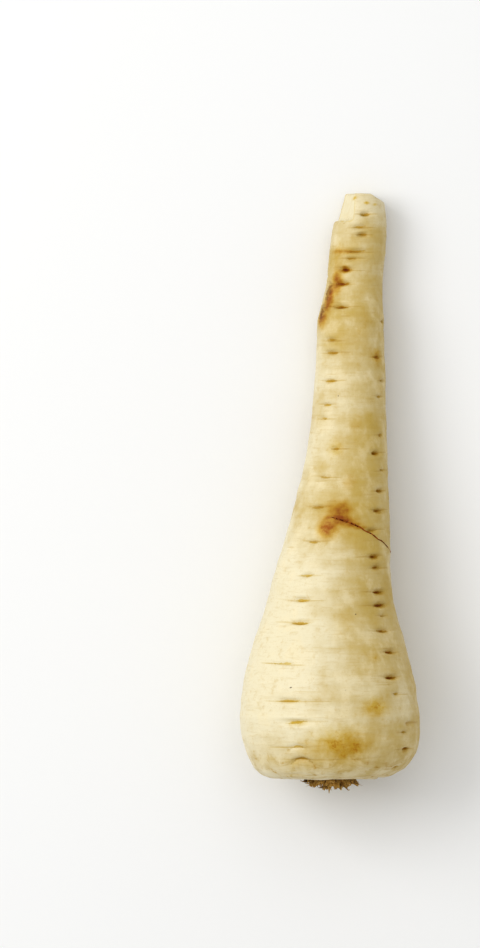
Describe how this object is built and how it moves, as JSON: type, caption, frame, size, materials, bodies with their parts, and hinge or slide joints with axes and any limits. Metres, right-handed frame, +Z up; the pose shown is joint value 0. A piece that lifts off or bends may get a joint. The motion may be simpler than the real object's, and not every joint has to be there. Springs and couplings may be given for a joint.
{
  "type": "parsnip",
  "caption": "Whole parsnip root lying on its side, with a round-shouldered crown, dried leaf bases in the hollow of the crown, rows of scars and a cut tip.",
  "frame": {"origin": "middle of the bounding box's underside, at the level of the surface the root lies on", "axes": "+Y along the root from the crown to the cut tip, +Z up from the surface, +X to the right when seen from above with the tip away from the viewer"},
  "size_m": [0.06, 0.1994, 0.057],
  "materials": {
    "parsnip_root": "satin cream skin",
    "leaf_bases": "dry and matt"
  },
  "bodies": {
    "root": {"parsnip_root": "parsnip_root", "leaf_bases": "leaf_bases"}
  },
  "joints": []
}
